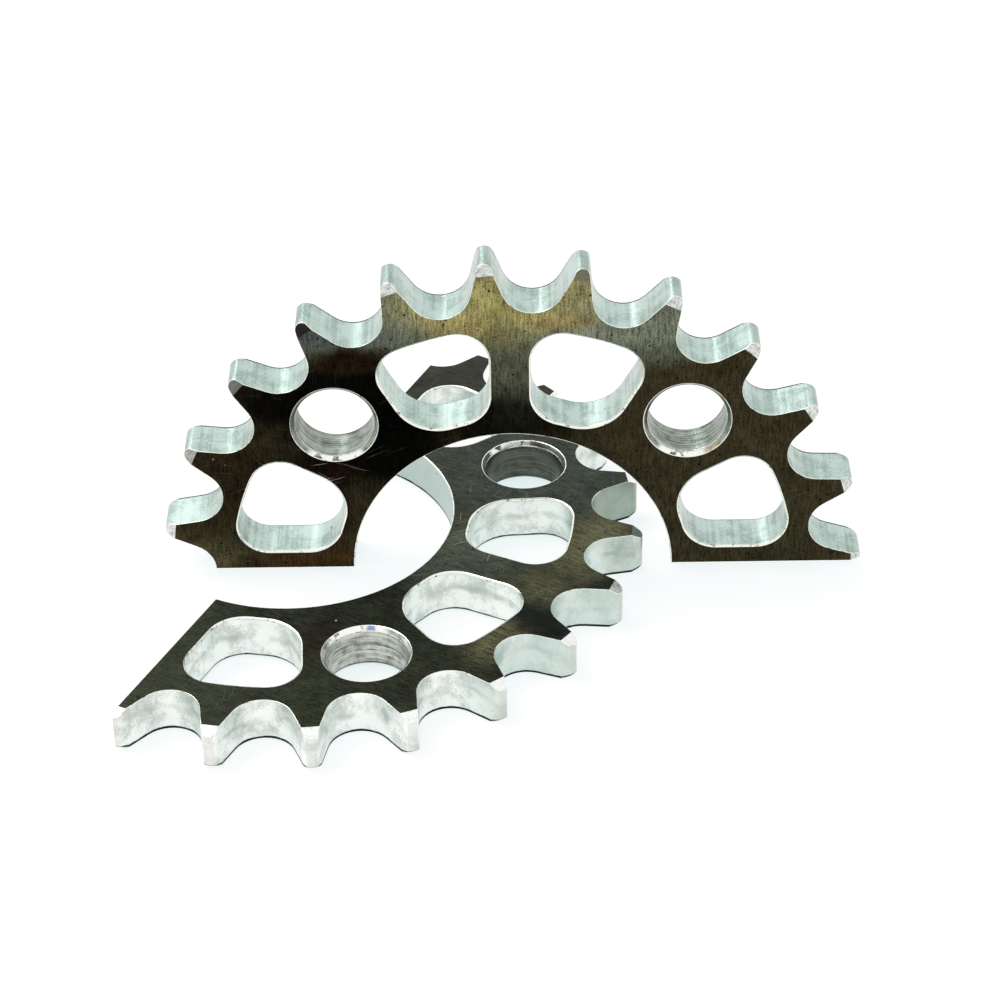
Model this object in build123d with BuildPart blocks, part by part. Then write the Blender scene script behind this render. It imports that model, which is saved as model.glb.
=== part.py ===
"""Two-piece chain sprocket: two equal halves of a 23-tooth plate wheel for 12.7 mm pitch roller chain.

Lengths are millimetres. The wheel is one flat ring that is cut in two across its diameter, so that it can
be fitted to its carrier without pulling the shaft. With an odd tooth count each half ends in half a tooth
on one side and half a tooth gap on the other, and one half is turned over when the ring is bolted up.
The halves are stored apart: one stands on its two cut faces like an arch, and the other lies flat and
passes under that arch. X runs along the standing half's cut line, Y through its thickness, Z is up.
The origin is on the standing half's bore axis, at the height of the surface that both halves rest on.
"""
import os
from math import atan2, cos, degrees, hypot, pi, radians, sin, sqrt, tan

from build123d import *

# ---- driving dimensions ------------------------------------------------------------------------------
# chain and teeth
tooth_count = 23            # whole ring
chain_pitch = 12.7          # half-inch roller chain
roller_diameter = 8.51      # roller of that chain
seat_clearance = 0.045      # radius of the roller seat over the roller's own radius
seating_angle = 130.0       # degrees of the seat arc that the roller lies in
outside_diameter = 99.2     # over the tooth tips
tip_rounding = 1.0          # radius from a straight flank to the tip circle
tip_bevel_width = 1.45      # turned bevel on both faces, measured inwards from the tips
tip_bevel_depth = 0.8       # and measured along the axis

# plate
thickness = 6.5
bore_diameter = 45.0
bore_edge_break = 0.15      # deburred edge of the bore

# bolt holes, two in each half
hole_diameter = 11.0
hole_chamfer = 0.6
hole_inset = 7.8            # hole centre inside the root circle
hole_angle = 45.0           # from the cut line

# weight-saving windows, four in each half
split_wall = 2.9            # wall beside the cut line, and half of the spoke that stands square to it
rim_width = 2.85            # wall between a window and the tooth roots
hub_width = 2.65            # wall between a window and the bore
hole_web = 3.35             # wall between a window and a bolt hole
web_slope = 29.15           # degrees from the cut line to the window side that passes the bolt hole
outer_corner = 4.3          # corner radii of a window
hub_corner = 4.8
web_corner = 6.3
window_edge_break = 0.3     # deburred edge of the windows

# how the two halves are set down
foot_gap = 3.8              # lying half's tip circle to the standing half's bore, along X
lying_back = 1.3            # lying half's bore axis behind the standing half's mid plane
lying_turn = -116.1         # degrees from X to the lying half's cut line

# ---- sizes that follow ---------------------------------------------------------------------------------
tooth_angle = 360.0 / tooth_count
pitch_radius = chain_pitch / (2 * sin(pi / tooth_count))
seat_radius = roller_diameter / 2 + seat_clearance
root_radius = pitch_radius - seat_radius
outside_radius = outside_diameter / 2
bore_radius = bore_diameter / 2
half_thickness = thickness / 2

bolt_circle_radius = root_radius - hole_inset
window_outer_radius = root_radius - rim_width
window_inner_radius = bore_radius + hub_width
largest_corner = 0.45 * (window_outer_radius - window_inner_radius)

# Each half is drawn on its own mid plane: x along its cut line, y towards its teeth, z out of its face.
standing_plane = Plane(origin=(0, 0, 0), x_dir=(1, 0, 0), z_dir=(0, -1, 0))
lying_plane = Plane(
    origin=(bore_radius - foot_gap - outside_radius, lying_back, half_thickness),
    x_dir=(cos(radians(lying_turn)), sin(radians(lying_turn)), 0),
    z_dir=(0, 0, 1),
)

# ---- section of the turned blank ------------------------------------------------------------------------
# Radius along x, thickness along y: a plate with a deburred bore and an edge bevel, alike on both faces.
# The blank is turned larger than the tip circle, and its bevel runs on at the same slope.
blank_allowance = tip_bevel_width / 2
blank_edge = half_thickness - tip_bevel_depth * (1 + blank_allowance / tip_bevel_width)

with BuildSketch() as ring_section:
    with BuildLine():
        Polyline(
            (bore_radius, 0),
            (bore_radius, half_thickness - bore_edge_break),
            (bore_radius + bore_edge_break, half_thickness),
            (outside_radius - tip_bevel_width, half_thickness),
            (outside_radius + blank_allowance, blank_edge),
            (outside_radius + blank_allowance, 0),
            close=True,
        )
    make_face()
    mirror(about=Plane.XZ)

# ---- outline of the teeth --------------------------------------------------------------------------------
# A gap is drawn with the roller's centre as the origin and x out along the radius. The seat arc holds the
# roller, and a straight flank leaves each of its ends at a tangent and runs on past the tips. The whole
# ring's gaps are taken from a disc of the tip circle's size, and the tips are then rounded.
half_seat = radians(seating_angle / 2)
past_tips = outside_radius - pitch_radius + tip_bevel_depth
seat_bottom = (-seat_radius, 0)
seat_end = (-seat_radius * cos(half_seat), seat_radius * sin(half_seat))
flank_end = (past_tips, seat_end[1] + (past_tips - seat_end[0]) / tan(half_seat))

# Two roundings share a tooth's tip, so each fits on half of the land between its flanks. Where the flanks
# meet before the tip circle there is no land, and one rounding takes the point.
half_tooth = pi / tooth_count
land_reach = outside_radius * cos(half_tooth) - pitch_radius
flank_at_land = seat_end[1] + (land_reach - seat_end[0]) / tan(half_seat)
half_land = (pitch_radius + land_reach) * sin(half_tooth) - flank_at_land * cos(half_tooth)
flank_to_land = half_seat + half_tooth
fits_on_land = 0.95 * half_land / tan(flank_to_land / 2)
tip_radius = min(tip_rounding, fits_on_land) if half_land > 0 else tip_rounding

with BuildSketch() as tooth_gap:
    with BuildLine():
        Polyline(seat_bottom, (past_tips, 0), flank_end, seat_end)
        RadiusArc(seat_end, seat_bottom, -seat_radius)
    make_face()
    mirror(about=Plane.XZ)

with BuildSketch() as toothed_disc:
    Circle(outside_radius)
    with PolarLocations(pitch_radius, tooth_count, start_angle=tooth_angle / 2):
        add(tooth_gap.sketch, mode=Mode.SUBTRACT)
    on_tip_circle = toothed_disc.vertices().group_by(lambda corner: hypot(corner.X, corner.Y))[-1]
    fillet(on_tip_circle.filter_by(lambda corner: abs(corner.Y) > tip_bevel_depth / 2), tip_radius)

# ---- windows of one half --------------------------------------------------------------------------------
# A window lies between two arcs about the bore axis, the wall beside the cut line and a sloping side that
# clears the bolt hole. Its mirror image lies beyond the hole, and both are mirrored to the other quarter.
slope = radians(web_slope)
clear_of_hole = hole_diameter / 2 + hole_web
web_foot = (
    bolt_circle_radius * cos(radians(hole_angle)) + clear_of_hole * sin(slope),
    bolt_circle_radius * sin(radians(hole_angle)) - clear_of_hole * cos(slope),
)


def wall_side(radius):
    """Angle, in degrees, where an arc of this radius meets the wall beside the cut line."""
    return degrees(atan2(split_wall, sqrt(radius**2 - split_wall**2)))


def web_side(radius):
    """Angle, in degrees, where an arc of this radius meets the side that passes the bolt hole."""
    along = web_foot[0] * cos(slope) + web_foot[1] * sin(slope)
    reach = sqrt(along**2 - hypot(*web_foot) ** 2 + radius**2) - along
    return degrees(atan2(web_foot[1] + reach * sin(slope), web_foot[0] + reach * cos(slope)))


with BuildSketch() as windows:
    with BuildLine():
        outer = CenterArc(
            (0, 0),
            window_outer_radius,
            wall_side(window_outer_radius),
            web_side(window_outer_radius) - wall_side(window_outer_radius),
        )
        inner = CenterArc(
            (0, 0),
            window_inner_radius,
            wall_side(window_inner_radius),
            web_side(window_inner_radius) - wall_side(window_inner_radius),
        )
        Line(inner @ 0, outer @ 0)
        Line(inner @ 1, outer @ 1)
    make_face()
    corners = windows.vertices().sort_by(lambda corner: hypot(corner.X, corner.Y))
    hub_side, web_inner_side = corners[:2].sort_by(Axis.Y)
    fillet(corners[2:], min(outer_corner, largest_corner))
    fillet(windows.vertices().sort_by_distance(hub_side)[0], min(hub_corner, largest_corner))
    fillet(windows.vertices().sort_by_distance(web_inner_side)[0], min(web_corner, largest_corner))
    mirror(about=Plane(origin=(0, 0, 0), z_dir=(1, -1, 0)))
    mirror(about=Plane.YZ)


def sprocket_half(label, mid_plane):
    """One half of the ring on its mid plane: turned, toothed, drilled, cut out and deburred."""
    radial_plane = Plane(origin=mid_plane.origin, x_dir=mid_plane.x_dir, z_dir=-mid_plane.y_dir)
    with BuildPart() as half:
        with BuildSketch(radial_plane):
            add(ring_section.sketch)
        revolve(axis=Axis(mid_plane.origin, mid_plane.z_dir), revolution_arc=180)

        with BuildSketch(mid_plane):
            add(toothed_disc.sketch)
        extrude(amount=thickness, both=True, mode=Mode.INTERSECT)

        with Locations(mid_plane):
            with PolarLocations(bolt_circle_radius, 2, hole_angle, 180 - 2 * hole_angle, endpoint=True):
                Hole(hole_diameter / 2)
        chamfer(half.edges(Select.LAST).filter_by(GeomType.CIRCLE), hole_chamfer)

        with BuildSketch(mid_plane):
            add(windows.sketch)
        extrude(amount=thickness, both=True, mode=Mode.SUBTRACT)
        through_edges = Axis(mid_plane.origin, mid_plane.z_dir)
        chamfer(half.edges(Select.LAST).filter_by(through_edges, reverse=True), window_edge_break)
    half.part.label = label
    return half


standing_half = sprocket_half("standing_half", standing_plane)
lying_half = sprocket_half("lying_half", lying_plane)

os.makedirs("parts", exist_ok=True)
export_step(standing_half.part, "parts/standing_half.step")
export_step(lying_half.part, "parts/lying_half.step")
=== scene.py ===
# %% [markdown]
# # A two-piece chain sprocket, one half standing over the other
#
# This script dresses a imported CAD part. The part is a flat ring with chain teeth, cut in two across its
# diameter. One half stands on its cut faces like an arch, and the other lies on the floor and passes under
# it. Each half is remade here with Geometry Nodes, in the order a workshop would make it: a turned ring,
# gashed teeth, windows, bolt holes, a cut across, and a light touch of the file on every edge. Then each kind
# of machined surface gets its own finish.
#
# The imported halves are kept in the scene, and hidden at the end.

from math import pi, radians

import bpy
from mathutils import Matrix, Vector


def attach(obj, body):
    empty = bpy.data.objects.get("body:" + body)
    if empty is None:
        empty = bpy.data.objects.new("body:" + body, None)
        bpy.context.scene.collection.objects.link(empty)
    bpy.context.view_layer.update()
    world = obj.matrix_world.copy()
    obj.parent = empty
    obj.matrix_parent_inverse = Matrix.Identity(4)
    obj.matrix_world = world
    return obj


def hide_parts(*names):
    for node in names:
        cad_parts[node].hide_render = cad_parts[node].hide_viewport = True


MM = 0.001

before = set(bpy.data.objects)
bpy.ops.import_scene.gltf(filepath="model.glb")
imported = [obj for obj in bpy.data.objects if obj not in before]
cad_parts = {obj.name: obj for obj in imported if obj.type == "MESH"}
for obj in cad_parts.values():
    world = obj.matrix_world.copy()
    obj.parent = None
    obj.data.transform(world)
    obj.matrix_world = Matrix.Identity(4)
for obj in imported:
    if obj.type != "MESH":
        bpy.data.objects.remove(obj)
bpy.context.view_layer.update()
scene = bpy.context.scene

# %% [markdown]
# ## Camera
#
# The camera looks down at the pair from the front. A long lens keeps the two plates close to their true
# proportions. The camera could be aimed with a Track To constraint, but a slight roll is wanted as well, so
# its turn is built from three plain angles: round, down, and about its own line of sight.

# %% Camera
CAMERA_PLACE = (0.0010072, -0.3526647, 0.2607675)
LOOK_ROUND = 0.44
LOOK_DOWN = 35.519
ROLL = -1.005
LENS = 109.956
SENSOR = 36.0

camera_data = bpy.data.cameras.new("camera")
camera_data.lens = LENS
camera_data.sensor_width = SENSOR
camera = bpy.data.objects.new("camera", camera_data)
scene.collection.objects.link(camera)
turn_round = Matrix.Rotation(radians(LOOK_ROUND), 4, "Z")
turn_down = Matrix.Rotation(radians(90 - LOOK_DOWN), 4, "X")
roll_over = Matrix.Rotation(radians(ROLL), 4, "Z")
camera.matrix_world = Matrix.Translation(CAMERA_PLACE) @ turn_round @ turn_down @ roll_over
scene.camera = camera
scene.view_settings.view_transform = "Standard"
print("camera looks down", LOOK_DOWN, "degrees from", round(camera.location.length, 3), "m")

# %% [markdown]
# ## Sizes
#
# All sizes stand in one table, in millimetres and degrees, as on the workshop drawing. The names are also
# the names of the node trees' inputs, so a tree can be handed the whole table.

# %% Sizes
TEETH = 23
SIZES = {
    "Tooth count": float(TEETH),
    "Chain pitch": 12.7,
    "Roller diameter": 8.51,
    "Seat clearance": 0.045,
    "Seating angle": 130.0,
    "Outside diameter": 99.2,
    "Tip rounding": 1.0,
    "Tip bevel width": 1.45,
    "Tip bevel depth": 0.8,
    "Thickness": 6.5,
    "Bore diameter": 45.0,
    "Hole diameter": 11.0,
    "Hole chamfer": 0.6,
    "Hole inset": 7.8,
    "Hole angle": 45.0,
    "Split wall": 2.9,
    "Rim width": 2.85,
    "Hub width": 2.65,
    "Hole web": 3.35,
    "Web slope": 29.15,
    "Outer corner": 4.3,
    "Hub corner": 4.8,
    "Web corner": 6.3,
}
print(len(SIZES), "sizes; outside diameter", SIZES["Outside diameter"], "mm")

# %% [markdown]
# ## Writing sums in a node tree
#
# Most of the shapes below follow from sums such as a pitch radius or the centre of a tangent arc. Wiring
# each sum by hand hides its meaning. So a socket is wrapped in a small class, and ordinary Python signs make
# the Math nodes: `(a + b) * 2` adds two nodes to the tree. It serves geometry trees and shaders alike.

# %% Sums as nodes
class Amount:
    """A number inside a node tree. Sums written with it become Math nodes."""

    def __init__(self, tree, socket):
        self.tree = tree
        self.socket = socket

    def math(self, operation, *others):
        """One Math node of this kind, with this amount first and the others after it."""
        node = self.tree.nodes.new("ShaderNodeMath")
        node.operation = operation
        for place, value in enumerate((self, *others)):
            plug(self.tree, value, node.inputs[place])
        return Amount(self.tree, node.outputs[0])

    def __add__(self, other):
        return self.math("ADD", other)

    def __sub__(self, other):
        return self.math("SUBTRACT", other)

    def __mul__(self, other):
        return self.math("MULTIPLY", other)

    def __truediv__(self, other):
        return self.math("DIVIDE", other)

    def __pow__(self, other):
        return self.math("POWER", other)

    def __neg__(self):
        return self * -1

    def __rsub__(self, other):
        return self * -1 + other

    __radd__ = __add__
    __rmul__ = __mul__


operations = bpy.types.ShaderNodeMath.bl_rna.properties["operation"].enum_items
print("the Math node knows", len(operations), "operations")

# %% [markdown]
# ## Adding nodes
#
# A node can be added, set and wired in three or four lines each time. One helper does it in one call: the
# node's inputs are filled by name, and an input takes a plain value, a socket or an amount.

# %% Adding nodes
def plug(tree, value, socket):
    """Links a node's output to a socket, or sets the socket to a plain value."""
    if isinstance(value, Amount):
        tree.links.new(value.socket, socket)
    elif isinstance(value, bpy.types.NodeSocket):
        tree.links.new(value, socket)
    else:
        socket.default_value = value


def add(tree, kind, settings=None, **inputs):
    """Adds a node, sets its options, and fills its inputs by name, with _ for a space."""
    node = tree.nodes.new(kind)
    for option, choice in (settings or {}).items():
        setattr(node, option, choice)
    for name, value in inputs.items():
        title = name.replace("_", " ")
        socket = next(s for s in node.inputs if s.name == title and s.enabled)
        plug(tree, value, socket)
    return node


def amount(tree, node):
    """A node's first output, as an amount."""
    return Amount(tree, node.outputs[0])


trial = bpy.data.node_groups.new("trial", "GeometryNodeTree")
value = amount(trial, add(trial, "ShaderNodeValue"))
total = (value + 2) * 3
print("(value + 2) * 3 took", len(trial.nodes) - 1, "Math nodes, the last one", total.socket.node.operation)
bpy.data.node_groups.remove(trial)

# %% [markdown]
# ## Starting a tree
#
# Every tree here takes sizes in and gives geometry out. Its inputs are made from the table's names, and a
# tree that uses another as a tool passes on the inputs of the same name. Below, `s` always holds the inputs
# of the tree that is being built, by their names.

# %% Starting a tree
def new_tree(name, sizes, takes_geometry=False):
    """A geometry tree with the named sizes as inputs. Returns it and its inputs as amounts."""
    tree = bpy.data.node_groups.new(name, "GeometryNodeTree")
    tree.interface.new_socket("Geometry", in_out="OUTPUT", socket_type="NodeSocketGeometry")
    if takes_geometry:
        tree.interface.new_socket("Geometry", in_out="INPUT", socket_type="NodeSocketGeometry")
    for size in sizes:
        socket = tree.interface.new_socket(size, in_out="INPUT", socket_type="NodeSocketFloat")
        socket.default_value = SIZES[size]
    source = tree.nodes.new("NodeGroupInput")
    return tree, {size: Amount(tree, source.outputs[size]) for size in sizes}


def give(tree, geometry):
    """Joins a geometry socket to the tree's output."""
    tree.links.new(geometry, tree.nodes.new("NodeGroupOutput").inputs[0])


def tool(tree, other, sizes):
    """Places another tree as one node and hands it the sizes it asks for."""
    node = tree.nodes.new("GeometryNodeGroup")
    node.node_tree = other
    for socket in node.inputs:
        plug(tree, sizes[socket.name], socket)
    return node.outputs[0]


print("trees can take any of the", len(SIZES), "sizes")

# %% [markdown]
# ## Values on faces, edges and points
#
# Geometry Nodes hands values along with the mesh. A value can be picked by number, written on faces, edges
# or points under a name, and read back later, also by a Bevel modifier or a material. Five finish numbers
# go on the faces: the plate's face, a cut wall, a drilled wall, a turned bevel and a broken edge.

# %% Values on a mesh
FACE, WALL, DRILLED, TURNED, EDGE = range(5)
FINISH_NAMES = ["Face", "Wall", "Drilled", "Turned", "Edge"]


def choose(tree, number, values):
    """Picks one of several values by a whole number."""
    node = tree.nodes.new("GeometryNodeIndexSwitch")
    node.data_type = "FLOAT"
    while len(node.index_switch_items) < len(values):
        node.index_switch_items.new()
    plug(tree, number, node.inputs[0])
    for place, value in enumerate(values):
        plug(tree, value, node.inputs[place + 1])
    return Amount(tree, node.outputs[0])


def mark(tree, geometry, name, value, domain="FACE", kind="FLOAT", where=True):
    """Writes a named value on faces, edges or points."""
    node = add(
        tree,
        "GeometryNodeStoreNamedAttribute",
        {"data_type": kind, "domain": domain},
        Geometry=geometry,
        Selection=where,
        Name=name,
        Value=value,
    )
    return node.outputs[0]


def read(tree, name):
    """Reads a named number back."""
    return amount(tree, add(tree, "GeometryNodeInputNamedAttribute", {"data_type": "FLOAT"}, Name=name))


def count_along(tree):
    """The running number of each point, edge or face."""
    return amount(tree, add(tree, "GeometryNodeInputIndex"))


def place_points(tree, geometry, x, y, z):
    """Moves every point to a computed place."""
    place = add(tree, "ShaderNodeCombineXYZ", X=x, Y=y, Z=z)
    node = add(tree, "GeometryNodeSetPosition", Geometry=geometry, Position=place.outputs[0])
    return node.outputs[0]


print("finishes:", ", ".join(f"{number} {name}" for number, name in enumerate(FINISH_NAMES)))

# %% [markdown]
# ## Cutters that go straight through
#
# Teeth and windows are cut straight through the plate, so their cutters are prisms over a flat outline of
# tangent arcs. The outline could be drawn as curves and filleted, but then its points depend on the fillet
# tool. Here a line of points is bent into the arcs by formula, which keeps them exact and needs no list of
# points.

# %% Prisms
SAME_POINT = 1e-4


def arc_face(tree, arcs, steps, repeats=1):
    """A flat face inside a chain of arcs (centre x, centre y, radius, from, to), joined by straight lines.

    The chain can be repeated evenly round the origin, until it closes."""
    chain = len(arcs) * steps
    line = add(tree, "GeometryNodeMeshLine", Count=chain * repeats)
    index = count_along(tree)
    repeat = (index / chain).math("FLOOR")
    index = index - repeat * chain
    number = (index / steps).math("FLOOR")
    share = (index - number * steps) / (steps - 1)
    centre_x, centre_y, radius, start, stop = (
        choose(tree, number, [arc[part] for arc in arcs]) for part in range(5)
    )
    angle = start + (stop - start) * share
    x = centre_x + radius * angle.math("COSINE")
    y = centre_y + radius * angle.math("SINE")
    turn = repeat * (2 * pi / repeats)
    cosine, sine = turn.math("COSINE"), turn.math("SINE")
    drawn = place_points(tree, line.outputs[0], x * cosine - y * sine, x * sine + y * cosine, 0.0)
    merged = add(tree, "GeometryNodeMergeByDistance", Geometry=drawn, Distance=SAME_POINT)
    curve = add(tree, "GeometryNodeMeshToCurve", Mesh=merged.outputs[0])
    closed = add(tree, "GeometryNodeSetSplineCyclic", Geometry=curve.outputs[0], Cyclic=True)
    filled = add(tree, "GeometryNodeFillCurve", {"mode": "NGONS"}, Curve=closed.outputs[0])
    return filled.outputs[0]


def prism(tree, face, depth, finish, edge_break):
    """A closed straight-sided solid of that depth, centred on the plate's mid plane."""
    low = add(tree, "ShaderNodeCombineXYZ", Z=-depth / 2).outputs[0]
    base = add(tree, "GeometryNodeTransform", Geometry=face, Translation=low).outputs[0]
    raised = add(tree, "GeometryNodeExtrudeMesh", Mesh=base, Offset_Scale=depth, Individual=False)
    turned_base = add(tree, "GeometryNodeFlipFaces", Mesh=base)
    joined = tree.nodes.new("GeometryNodeJoinGeometry")
    tree.links.new(raised.outputs[0], joined.inputs[0])
    tree.links.new(turned_base.outputs[0], joined.inputs[0])
    solid = add(tree, "GeometryNodeMergeByDistance", Geometry=joined.outputs[0], Distance=SAME_POINT)
    marked = mark(tree, solid.outputs[0], "finish", float(finish))
    return mark(tree, marked, "edge_break", edge_break)


print("points closer than", SAME_POINT, "mm count as one")

# %% [markdown]
# ## Turned shapes
#
# The ring itself and the drill for the bolt holes are turned: a profile carried round an axis. A Screw
# modifier would do it too, but it can't mark each line of the profile. So a flat grid is bent round the
# axis, and each of its rows keeps the finish and the edge break of the line that it came from.

# %% Turned shapes
def turned(tree, profile, steps, finishes, breaks):
    """A profile of (radius, height) points carried round Z, with a finish and an edge break for each line."""
    around = steps + 1
    grid = add(tree, "GeometryNodeMeshGrid", Vertices_X=len(profile), Vertices_Y=around)
    index = count_along(tree)
    line = (index / steps).math("FLOOR")
    marked = mark(tree, grid.outputs[0], "finish", choose(tree, line, [float(f) for f in finishes]))
    marked = mark(tree, marked, "edge_break", choose(tree, line, breaks))
    row = (index / around).math("FLOOR")
    angle = (index - row * around) * (2 * pi / steps)
    radius = choose(tree, row, [point[0] for point in profile])
    height = choose(tree, row, [point[1] for point in profile])
    bent = place_points(tree, marked, radius * angle.math("COSINE"), radius * angle.math("SINE"), height)
    return add(tree, "GeometryNodeMergeByDistance", Geometry=bent, Distance=SAME_POINT).outputs[0]


print("a turned shape's first and last rows meet, and are merged within", SAME_POINT, "mm")

# %% [markdown]
# ## The turned blank
#
# The blank is a flat ring with a bore, and with a bevel on both faces that lets the chain run on to the
# teeth. It is one section carried once round the axis. It is turned a little larger than the tips, and the
# bevel runs on at the same slope, so that the tooth outline alone decides where the tips end.

# %% Turned blank
STEPS_FOR_A_TOOTH = 16
ALLOWANCE = 0.5
BORE_BREAK = 0.15

blank_tree, s = new_tree(
    "turned_blank",
    ["Outside diameter", "Bore diameter", "Thickness", "Tip bevel width", "Tip bevel depth"],
)
tip, bore, face = s["Outside diameter"] / 2, s["Bore diameter"] / 2, s["Thickness"] / 2
bevel_start = tip - s["Tip bevel width"]
bevel_end = tip + s["Tip bevel width"] * ALLOWANCE
land = face - s["Tip bevel depth"] * (1 + ALLOWANCE)
blank = turned(
    blank_tree,
    [
        (bore, face),
        (bevel_start, face),
        (bevel_end, land),
        (bevel_end, -land),
        (bevel_start, -face),
        (bore, -face),
        (bore, face),
    ],
    TEETH * STEPS_FOR_A_TOOTH,
    [FACE, TURNED, TURNED, TURNED, FACE, WALL],
    [0.0, 0.0, 0.0, 0.0, 0.0, BORE_BREAK],
)
give(blank_tree, blank)
print("turned blank in", TEETH * STEPS_FOR_A_TOOTH, "steps")

# %% [markdown]
# ## The outline of the teeth
#
# A roller lies in a round seat a hair larger than itself. A straight flank leaves each end of the seat at a
# tangent, and a small rounding brings it on to the tip circle. So a gap between two teeth is three arcs, and
# the whole outline is those three arcs repeated once for every tooth. The centre of a rounding lies a
# radius inside the tip circle and a radius beyond the flank, which is one arccosine away.

# %% Tooth outline
CUT_DEPTH = 12.0
TOOTH_STEPS = 14
WALL_BREAK = 0.06

outline_tree, s = new_tree(
    "toothed_disc",
    [
        "Tooth count",
        "Chain pitch",
        "Roller diameter",
        "Seat clearance",
        "Seating angle",
        "Outside diameter",
        "Tip rounding",
    ],
)


def pitch_circle(s):
    """Radius of the circle through the rollers' centres."""
    half_pitch = (s["Tooth count"] ** -1 * pi).math("SINE")
    return s["Chain pitch"] / (half_pitch * 2)


def seat_size(s):
    """Radius of the round seat under a roller."""
    return s["Roller diameter"] / 2 + s["Seat clearance"]


seat, rounding = seat_size(s), s["Tip rounding"]
half_seat = s["Seating angle"].math("RADIANS") / 2
centre = pitch_circle(s)
tip_centre = s["Outside diameter"] / 2 - rounding
beyond_flank = centre * half_seat.math("COSINE") - seat - rounding
tip_angle = (beyond_flank / tip_centre).math("ARCCOSINE") - half_seat
tip_x, tip_y = tip_centre * tip_angle.math("COSINE"), tip_centre * tip_angle.math("SINE")
outline = arc_face(
    outline_tree,
    [
        (tip_x, -tip_y, rounding, -tip_angle, half_seat),
        (centre, 0.0, seat, pi + half_seat, pi - half_seat),
        (tip_x, tip_y, rounding, -half_seat, tip_angle),
    ],
    TOOTH_STEPS,
    TEETH,
)
give(outline_tree, prism(outline_tree, outline, CUT_DEPTH, WALL, WALL_BREAK))
print(TEETH, "gaps, each from three arcs of", TOOTH_STEPS, "points")

# %% [markdown]
# ## A window
#
# Four windows lighten each half. A window lies between two arcs about the bore, the wall beside the cut, and
# a sloping side that stays clear of the bolt hole. Its corners are rounded for the milling cutter. Every
# corner's centre lies where two offset lines meet, and in polar form that is a single arcsine.

# %% Where a window's corners lie
window_tree, s = new_tree(
    "window",
    [
        "Tooth count",
        "Chain pitch",
        "Roller diameter",
        "Seat clearance",
        "Bore diameter",
        "Hole diameter",
        "Hole inset",
        "Hole angle",
        "Split wall",
        "Rim width",
        "Hub width",
        "Hole web",
        "Web slope",
        "Outer corner",
        "Hub corner",
        "Web corner",
    ],
)


def bolt_circle(s):
    """Radius of the circle through the bolt holes' centres."""
    return pitch_circle(s) - seat_size(s) - s["Hole inset"]


rim = pitch_circle(s) - seat_size(s) - s["Rim width"]
hub = s["Bore diameter"] / 2 + s["Hub width"]
slope = s["Web slope"].math("RADIANS")
lean = bolt_circle(s) * (slope - s["Hole angle"].math("RADIANS")).math("SINE")
clear_of_hole = lean + s["Hole diameter"] / 2 + s["Hole web"]


def wall_corner(centre_radius, corner):
    """Angle of a corner's centre that touches the wall beside the cut."""
    return ((s["Split wall"] + corner) / centre_radius).math("ARCSINE")


def web_corner(centre_radius, corner):
    """Angle of a corner's centre that touches the side by the bolt hole."""
    return slope - ((clear_of_hole + corner) / centre_radius).math("ARCSINE")


by_rim, by_hub, by_web = rim - s["Outer corner"], hub + s["Hub corner"], hub + s["Web corner"]
rim_wall = wall_corner(by_rim, s["Outer corner"])
rim_web = web_corner(by_rim, s["Outer corner"])
hub_web = web_corner(by_web, s["Web corner"])
hub_wall = wall_corner(by_hub, s["Hub corner"])
print("the sums for a window took", len(window_tree.nodes), "nodes")

# %% [markdown]
# ## The window's cutter
#
# Six arcs, each tangent to the next, go once round the window: a corner, the rim's arc, two corners on the
# sloping side, the hub's arc, and the last corner. The straight sides need no entry of their own, because
# arcs that follow each other are joined by a line. The edge break of a window is the widest on the part.

# %% Window cutter
WINDOW_STEPS = 16
WINDOW_BREAK = 0.3


def corner_arc(centre_radius, at, corner, start, stop):
    """A corner's arc about a centre given by its radius and angle."""
    return centre_radius * at.math("COSINE"), centre_radius * at.math("SINE"), corner, start, stop


outline = arc_face(
    window_tree,
    [
        corner_arc(by_rim, rim_wall, s["Outer corner"], -pi / 2, rim_wall),
        (0.0, 0.0, rim, rim_wall, rim_web),
        corner_arc(by_rim, rim_web, s["Outer corner"], rim_web, slope + pi / 2),
        corner_arc(by_web, hub_web, s["Web corner"], slope + pi / 2, hub_web + pi),
        (0.0, 0.0, hub, hub_web, hub_wall),
        corner_arc(by_hub, hub_wall, s["Hub corner"], hub_wall + pi, 1.5 * pi),
    ],
    WINDOW_STEPS,
)
give(window_tree, prism(window_tree, outline, CUT_DEPTH, WALL, WINDOW_BREAK))
print("window from six tangent arcs of", WINDOW_STEPS, "points")

# %% [markdown]
# ## The drill
#
# The bolt holes are drilled, then countersunk a little from both faces. A turned cutter with two cones does
# both at once. The cones' chamfers are real geometry, because they catch the light.

# %% Countersunk drill
DRILL_STEPS = 96
HOLE_BREAK = 0.06
BEYOND = 1.0

drill_tree, s = new_tree("countersunk_drill", ["Hole diameter", "Hole chamfer", "Thickness"])
hole, face = s["Hole diameter"] / 2, s["Thickness"] / 2
shoulder = face - s["Hole chamfer"]
wide = hole + s["Hole chamfer"] + BEYOND
drill = turned(
    drill_tree,
    [
        (0.0, face + BEYOND),
        (wide, face + BEYOND),
        (hole, shoulder),
        (hole, -shoulder),
        (wide, -face - BEYOND),
        (0.0, -face - BEYOND),
    ],
    DRILL_STEPS,
    [EDGE, DRILLED, DRILLED, DRILLED, EDGE],
    [0.0, HOLE_BREAK, HOLE_BREAK, HOLE_BREAK, 0.0],
)
give(drill_tree, drill)
print("drill in", DRILL_STEPS, "steps")

# %% [markdown]
# ## Copies round the axis
#
# Four windows and two holes sit round the axis. They could be copied by hand, but as instances on points
# each copy's angle is a sum, so a change of the hole angle moves the holes with it. The two quarters mirror
# each other, so every second window is turned over.

# %% Windows and holes round the axis
half_tree, s = new_tree("sprocket_half", list(SIZES))


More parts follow.
